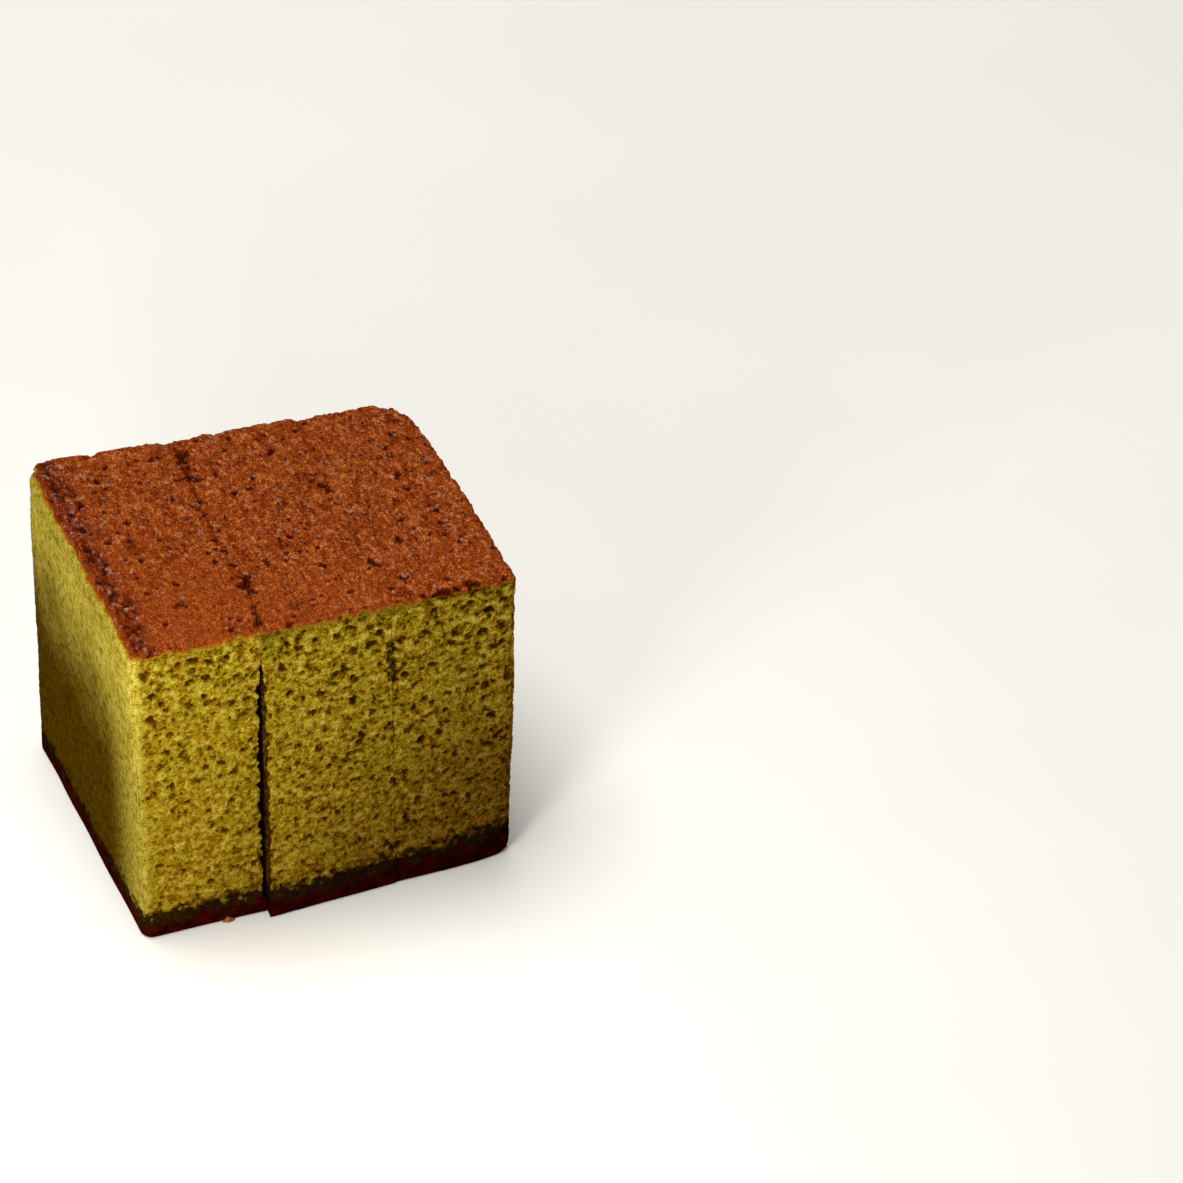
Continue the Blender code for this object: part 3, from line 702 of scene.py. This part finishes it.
class Graph:
    """Short calls for wiring a material's nodes."""

    def __init__(self, name):
        self.material = bpy.data.materials.new(name)
        self.material.use_nodes = True
        self.tree = self.material.node_tree
        self.shader = self.tree.nodes["Principled BSDF"]
        self.where = self.add("ShaderNodeTexCoord", {}, output=3)

    def add(self, kind, inputs, output=0, **settings):
        """Adds a node. inputs maps socket names or numbers to values or to other nodes' outputs."""
        made = self.tree.nodes.new(kind)
        for name, value in settings.items():
            setattr(made, name, value)
        for key, value in inputs.items():
            self.feed(made.inputs[key], value)
        return made.outputs[output]

    def feed(self, socket, value):
        if isinstance(value, bpy.types.NodeSocket):
            self.tree.links.new(value, socket)
        else:
            socket.default_value = value

    def sum(self, a, b):
        return self.add("ShaderNodeMath", {0: a, 1: b}, operation="ADD")

    def times(self, a, b):
        return self.add("ShaderNodeMath", {0: a, 1: b}, operation="MULTIPLY")

    def swing(self, value, amount):
        """A value of about 0 to 1 as one to either side of 0."""
        return self.times(self.sum(value, -0.5), amount)

    def step(self, value, low, high, start=0.0, end=1.0):
        """start below low, end above high, and an S between."""
        sockets = {"Value": value, "From Min": low, "From Max": high, "To Min": start, "To Max": end}
        return self.add("ShaderNodeMapRange", sockets, interpolation_type="SMOOTHSTEP")

    def mix(self, share, a, b):
        """From colour a to colour b."""
        a, b = ((*colour, 1) if isinstance(colour, tuple) else colour for colour in (a, b))
        sockets = {0: share, 6: a, 7: b}
        return self.add("ShaderNodeMix", sockets, output=2, data_type="RGBA")

    def ramp(self, share, stops):
        """A colour that runs through the stops."""
        made = self.tree.nodes.new("ShaderNodeValToRGB")
        elements = made.color_ramp.elements
        elements.remove(elements[1])
        for place, colour in stops[1:]:
            elements.new(place).color = (*colour, 1)
        elements[0].position, elements[0].color = stops[0][0], (*stops[0][1], 1)
        self.tree.links.new(share, made.inputs[0])
        return made.outputs[0]

    def tint(self, share, colour, tone):
        """Multiplies a colour by a tone, by a share from 0 to 1."""
        sockets = {0: share, 6: colour, 7: (*tone, 1)}
        return self.add("ShaderNodeMix", sockets, output=2, data_type="RGBA", blend_type="MULTIPLY")

    def most(self, a, b):
        return self.add("ShaderNodeMath", {0: a, 1: b}, operation="MAXIMUM")

    def attribute(self, name, output=2):
        return self.add("ShaderNodeAttribute", {}, output=output, attribute_name=name)

    def noise(self, size_mm, detail=2.0, rough=0.5, shift=0.0, stretch=(1, 1, 1)):
        """A noise of about 0 to 1 whose spots are size_mm across."""
        scale = tuple(1 / (size_mm * MM * share) for share in stretch)
        sockets = {"Vector": self.where, "Location": (shift, shift * 0.7, shift * 1.3), "Scale": scale}
        moved = self.add("ShaderNodeMapping", sockets)
        sockets = {"Vector": moved, "Scale": 1.0, "Detail": detail, "Roughness": rough}
        return self.add("ShaderNodeTexNoise", sockets)


def cake_material():
    """Green tea crumb under a browned skin and over a dark crust, with ragged borders between."""
    g = Graph("matcha_castella")
    split = g.add("ShaderNodeSeparateXYZ", {0: g.attribute("block_mm", output=1)})
    across, back, up = split.node.outputs
    tone, hole, crease, bead = (g.attribute(name) for name in ("tone", "hole", "crease", "bead"))
    top = CAKE_HEIGHT / MM

    broad = g.noise(10.0, 2.0)
    blotch = g.noise(2.6, 3.0, 0.55, 3.0)
    grain = g.noise(0.66, 3.0, 0.65, 7.0, (1, 1.7, 1))
    specks = g.noise(0.32, 2.0, 0.6, 11.0, (1, 1.7, 1))
    around = g.sum(g.swing(grain, 1.0), g.swing(specks, 1.0))

    # Crumb: pores by the mesh's ridges and hollows, with painted shade in the holes, and finer grain. Darker
    # toward the foot and the right, partly painted shade and partly a browner crumb
    level = g.sum(g.swing(tone, 0.48), g.times(around, 1.10))
    level = g.sum(level, g.swing(blotch, 0.45))
    level = g.sum(level, g.times(hole, -0.48))
    level = g.times(level, g.sum(0.95, g.times(across, 0.0035)))
    # The crumb is calmer toward the foot
    level = g.sum(0.64, g.times(level, g.sum(0.80, g.times(up, 0.0032))))
    crumb = g.ramp(level, CRUMB_RAMP)
    crumb = g.tint(g.step(g.noise(1.5, 2.0, 0.6, 31.0), 0.42, 0.60), crumb, BROWNER_TINT)
    low = g.step(g.sum(up, g.times(broad, 14.0)), 58.0, 6.0)
    crumb = g.tint(low, crumb, LOW_TINT)
    crumb = g.tint(g.step(g.sum(across, g.times(broad, 12.0)), 8.0, 72.0), crumb, RIGHT_TINT)
    below = g.sum(1.0, g.times(up, -1 / top))
    corner = g.times(below, g.times(across, MM / CAKE_WIDTH))
    crumb = g.tint(g.step(g.sum(corner, g.swing(broad, 0.3)), 0.05, 0.75), crumb, CORNER_TINT)
    # The loaf's own side is finer and paler
    pile = g.noise(0.42, 3.0, 0.7, 17.0, (1, 0.6, 0.8))
    nap = g.noise(0.19, 1.0, 0.6, 29.0)
    velvet = g.sum(g.sum(g.swing(tone, 0.45), 0.70), g.swing(pile, 1.90))
    velvet = g.sum(g.sum(velvet, g.swing(nap, 1.10)), g.swing(blotch, 0.85))
    velvet = g.ramp(g.sum(velvet, g.times(hole, -0.7)), SIDE_RAMP)
    # Painted shade darkens the loaf's own side toward its foot and back, less near the front edge
    side_shade = g.step(g.sum(up, g.swing(broad, 16.0)), 61.0, 23.0)
    side_shade = g.times(side_shade, g.step(g.sum(back, g.swing(blotch, 8.0)), 1.0, 15.0, 0.38, 1.0))
    velvet = g.tint(side_shade, velvet, SIDE_SHADE_TINT)
    # It goes over into the cut front round the rounded edge between them
    turned = g.step(g.sum(across, g.swing(blotch, 3.0)), 0.4, 2.4, 1.0, 0.0)
    crumb = g.mix(g.times(turned, g.step(back, 40.0, 50.0, 1.0, 0.0)), crumb, velvet)
    on_side = g.step(across, 0.02, 0.25, 1.0, 0.0)
    crumb = g.mix(on_side, crumb, velvet)

    # Skin: reddish brown grain with pits and creases darkened by painted shade, painted glints on raised
    # beads, and a duller wrinkled band
    rough = g.step(g.sum(across, g.times(back, 1.5)), 15.0, 70.0, 0.30, 0.80)
    coarse = g.sum(g.swing(tone, 0.34), g.swing(blotch, 0.40))
    # The finest grain lifts the skin to its palest stop in small painted glints
    grain_and_glint = g.noise(0.20, 1.0, 0.6, 19.0, (1, 1.7, 1))
    fine = g.sum(g.times(around, 0.85), g.swing(grain_and_glint, 1.30))
    fine = g.times(fine, g.sum(0.72, g.times(rough, 0.35)))
    skin_level = g.sum(g.sum(g.times(coarse, rough), 0.645), fine)
    skin_level = g.sum(skin_level, g.times(g.most(hole, g.times(crease, 0.6)), -0.55))
    skin = g.ramp(skin_level, SKIN_RAMP)
    band = g.step(g.sum(across, g.swing(blotch, 6.0)), 3.0, 6.5, 1.0, 0.0)
    skin = g.tint(g.times(band, 0.7), skin, CREASE_TINT)
    # The pale spots on the beads are painted glints
    skin = g.mix(g.times(bead, g.step(specks, 0.42, 0.60, 0.25, 1.0)), skin, PAINTED_GLINT)

    # Orange fringe where the skin meets the crumb at the front and round the left rim
    wander = g.sum(g.swing(blotch, 4.4), g.swing(grain, 2.2))
    border = g.sum(up, g.most(wander, -0.55))
    # The border runs along the rim, now above and now below it
    rim_drop = g.most(g.step(back, 0.0, 1.1, RIM_DROP, 0.0), g.step(across, 0.0, 1.1, RIM_DROP, 0.0))
    border = g.sum(border, g.times(rim_drop, -1.0))
    skin_share = g.step(border, top - 1.35, top - 0.60)
    fringe_tone = g.sum(g.sum(0.54, g.times(across, -0.0055)), g.swing(blotch, 0.9))
    fringe = g.ramp(g.sum(fringe_tone, g.sum(around, g.times(hole, -1.3))), FRINGE_RAMP)
    near_front = g.step(g.sum(back, g.swing(blotch, 4.0)), 0.0, 1.4, 0.42, 0.0)
    near_left = g.step(g.sum(across, g.swing(blotch, 4.0)), 0.0, 1.6, 0.40, 0.0)
    off_top = g.step(up, top - 0.5, top - 0.02, 0.8, 0.0)
    fringe_share = g.most(g.most(near_front, near_left), off_top)
    skin = g.mix(fringe_share, skin, fringe)
    # Just under the skin the crumb is orange, most so on the left, then darker green, partly painted shade
    # under the skin's rim, most on the right
    to_right = g.step(across, 20.7, 21.3)
    under = g.times(g.step(border, top - 3.2, top - 1.3), g.sum(0.20, g.times(to_right, 0.65)))
    side_share = g.times(on_side, g.step(back, 2.0, 8.0, 0.0, 0.38))
    under_side = g.times(g.step(border, top - 7.0, top - 2.5), side_share)
    crumb = g.tint(g.most(under, under_side), crumb, UNDER_SKIN_TINT)
    # A dark green patch lies under the skin just right of the first cut
    beside_cut = g.times(to_right, g.step(g.sum(across, g.times(blotch, 3.0)), 22.5, 26.5, 1.0, 0.0))
    crumb = g.tint(g.times(beside_cut, g.step(up, top - 7.0, top - 2.0, 0.0, 0.75)), crumb, GREENER_TINT)
    orange = g.times(g.step(border, top - 1.75, top - 1.10), g.sum(0.80, g.times(to_right, -0.35)))
    crumb = g.mix(orange, crumb, ORANGE_EDGE)
    colour = g.mix(skin_share, crumb, skin)

    # Dark crust below, thicker to the right, under a ragged band of dark green
    ragged = g.sum(g.swing(g.noise(1.6, 3.0, 0.6, 23.0), -9.0), g.times(around, -1.8))
    risen = g.sum(g.times(across, -0.024), g.step(across, 50.0, 63.0, 0.0, -0.9))
    foot_level = g.sum(g.sum(up, risen), ragged)
    crust_tone = g.sum(g.sum(0.52, g.times(across, -0.0035)), g.swing(blotch, 0.9))
    crust_tone = g.sum(crust_tone, g.times(around, 0.7))
    colour = g.mix(g.step(foot_level, 4.0, 6.0, 0.98, 0.0), colour, g.ramp(crust_tone, BORDER_RAMP))
    colour = g.mix(g.step(foot_level, 1.9, 2.9, 1.0, 0.0), colour, g.ramp(crust_tone, CRUST_RAMP))

    g.feed(g.shader.inputs["Base Color"], colour)
    gloss = g.step(grain, 0.35, 0.65, 0.62, 0.40)
    g.feed(g.shader.inputs["Roughness"], g.sum(0.95, g.times(skin_share, g.sum(gloss, -0.95))))
    # Only the skin has a sheen, most on the raised beads, and none in the pits
    sheen = g.times(g.sum(0.03, g.times(bead, 0.10)), g.sum(1.0, g.times(hole, -0.8)))
    g.feed(g.shader.inputs["Specular IOR Level"], g.times(skin_share, g.most(sheen, 0.0)))
    # The loaf's own side has the finer grain of its colour, which doesn't run into the block
    of_side = g.sum(g.swing(pile, 1.4), g.times(around, -1.0))
    height = g.sum(around, g.times(of_side, on_side))
    bump = g.add("ShaderNodeBump", {"Strength": 0.8, "Distance": 0.00025, "Height": height})
    g.feed(g.shader.inputs["Normal"], bump)
    return g.material


def crumb_material():
    """Loose crumbs: browned or green, with a dark grain."""
    g = Graph("loose_crumb")
    patches = g.noise(0.9, 1.0, 0.5, 5.0)
    grain = g.noise(0.3, 3.0, 0.6, 2.0)
    colour = g.mix(g.step(patches, 0.42, 0.58), (0.38, 0.115, 0.009), (0.32, 0.150, 0.012))
    colour = g.mix(g.step(grain, 0.35, 0.65, 0.7, 0.0), colour, (0.07, 0.014, 0.003))
    g.feed(g.shader.inputs["Base Color"], colour)
    g.shader.inputs["Roughness"].default_value = 0.9
    return g.material


def floor_material():
    """Plain pale card."""
    g = Graph("pale_floor")
    shade = g.step(g.noise(60.0, 2.0), 0.3, 0.7)
    g.feed(g.shader.inputs["Base Color"], g.mix(shade, *PALE_CARD))
    g.shader.inputs["Roughness"].default_value = 0.8
    g.shader.inputs["Specular IOR Level"].default_value = 0.2
    return g.material


def link_mesh(name, points, faces, material):
    mesh = bpy.data.meshes.new(name)
    mesh.from_pydata(points.tolist(), [], faces)
    mesh.update()
    mesh.shade_smooth()
    mesh.materials.append(material)
    made = bpy.data.objects.new(name, mesh)
    bpy.context.scene.collection.objects.link(made)
    return made


def keep_value(mesh, name, kind, values):
    """Stores one value for each point, which the material reads."""
    stored = mesh.attributes.new(name, kind, "POINT")
    field = "vector" if kind == "FLOAT_VECTOR" else "value"
    stored.data.foreach_set(field, values.astype(np.float32).ravel())


def make_slice(order, material):
    """One slice with its holes, skin and crust, in place of its solid."""
    chance = np.random.default_rng(SLICES[order].seed)
    places, faces = slice_surface(order)
    block = places + np.array((order * SLICE_THICKNESS, 0, 0))
    sink, marks = fine_relief(places, block, order, chance)
    shaped = softened(places, order) + relief(block) + toward_core(places, order) * sink[:, None]
    piece = link_mesh("cake_" + SLICES[order].name, placed(shaped, order), faces, material)
    piece.data.set_sharp_from_angle(angle=SHARP_ANGLE)
    keep_value(piece.data, "block_mm", "FLOAT_VECTOR", block / MM)
    for name, values in marks.items():
        keep_value(piece.data, name, "FLOAT", values)
    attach(piece, "root")
    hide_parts(SLICES[order].name)


def make_crumbs():
    """A few crumbs that lie against the foot of the front."""
    ball = bmesh.new()
    bmesh.ops.create_icosphere(ball, subdivisions=4, radius=1.0)
    ball.verts.ensure_lookup_table()
    round_points = np.array([vertex.co for vertex in ball.verts])
    round_faces = np.array([[vertex.index for vertex in face.verts] for face in ball.faces])
    ball.free()
    points, faces = [], []
    for number, (across, back, radius) in enumerate(LOOSE_CRUMBS):
        lumpy = 1 + 0.50 * bumps(round_points, 0.60, 3 + number)
        lumpy += 0.20 * bumps(round_points, 0.25, 7 + number)
        lump = round_points * lumpy[:, None] * radius * MM * np.array((1.0, 0.8, 0.8))
        lump += np.array((across * MM, back * MM, 0.7 * radius * MM)) - ORIGIN
        lump[:, Z] = np.maximum(lump[:, Z], 0.0)
        faces += (round_faces + len(round_points) * number).tolist()
        points.append(lump)
    piece = link_mesh("cake_crumbs", np.concatenate(points), faces, crumb_material())
    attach(piece, "root")


def aim(thing, place, target):
    thing.location = place
    thing.rotation_euler = (Vector(target) - Vector(place)).to_track_quat("-Z", "Y").to_euler()


# Camera of the photograph: its place from the middle of the block's foot, and its angles
EYE_FROM_FOOT = (-0.1683, -0.5570, 0.4978)
HEADING, PITCH, ROLL = (math.radians(angle) for angle in (21.78, 37.96, 1.67))
SENSOR_WIDTH = 36.0
FOCAL_SHARE = 4600 / 1183


def make_camera():
    """The camera's frame leans by ROLL about its line of sight."""
    ahead = math.cos(PITCH)
    forward = Vector((math.sin(HEADING) * ahead, math.cos(HEADING) * ahead, -math.sin(PITCH)))
    level = Vector((math.cos(HEADING), -math.sin(HEADING), 0))
    upward = level.cross(forward)
    right = level * math.cos(ROLL) + upward * math.sin(ROLL)
    top = upward * math.cos(ROLL) - level * math.sin(ROLL)
    lens = bpy.data.cameras.new("camera")
    lens.sensor_width = SENSOR_WIDTH
    lens.lens = FOCAL_SHARE * SENSOR_WIDTH
    lens.clip_start, lens.clip_end = 0.01, 20.0
    camera = bpy.data.objects.new("camera", lens)
    eye = Vector(EYE_FROM_FOOT) + Vector((CAKE_WIDTH / 2, CAKE_DEPTH / 2, 0)) - Vector(ORIGIN)
    camera.matrix_world = Matrix.Translation(eye) @ Matrix((right, top, -forward)).transposed().to_4x4()
    bpy.context.scene.collection.objects.link(camera)
    bpy.context.scene.camera = camera


def make_light(name, place, target, size, power, colour):
    lamp = bpy.data.lights.new(name, "AREA")
    lamp.shape = "DISK"
    lamp.size = size
    lamp.energy = power
    lamp.color = colour
    light = bpy.data.objects.new(name, lamp)
    aim(light, place, target)
    bpy.context.scene.collection.objects.link(light)


def make_studio():
    """Pale floor and soft warm light from the upper left."""
    half = 3.0
    corners = np.array([(-half, -half, 0), (half, -half, 0), (half, half, 0), (-half, half, 0)])
    floor = link_mesh("floor", corners, [(0, 1, 2, 3)], floor_material())
    world = bpy.data.worlds.new("studio")
    world.use_nodes = True
    world.node_tree.nodes["Background"].inputs["Color"].default_value = (1.0, 0.98, 0.93, 1)
    world.node_tree.nodes["Background"].inputs["Strength"].default_value = 0.16
    bpy.context.scene.world = world
    make_light("key", (-0.120, -0.145, 0.105), (-0.02, -0.02, 0.045), 0.07, 0.26, (1.0, 0.97, 0.92))
    make_light("overhead", (-0.15, 0.15, 1.30), (0.0, 0.05, 0.0), 0.90, 17.0, (1.0, 0.99, 0.97))


def main():
    bpy.context.scene.view_settings.view_transform = "Standard"
    material = cake_material()
    for order in range(SLICE_COUNT):
        make_slice(order, material)
    make_crumbs()
    make_studio()
    make_camera()


main()
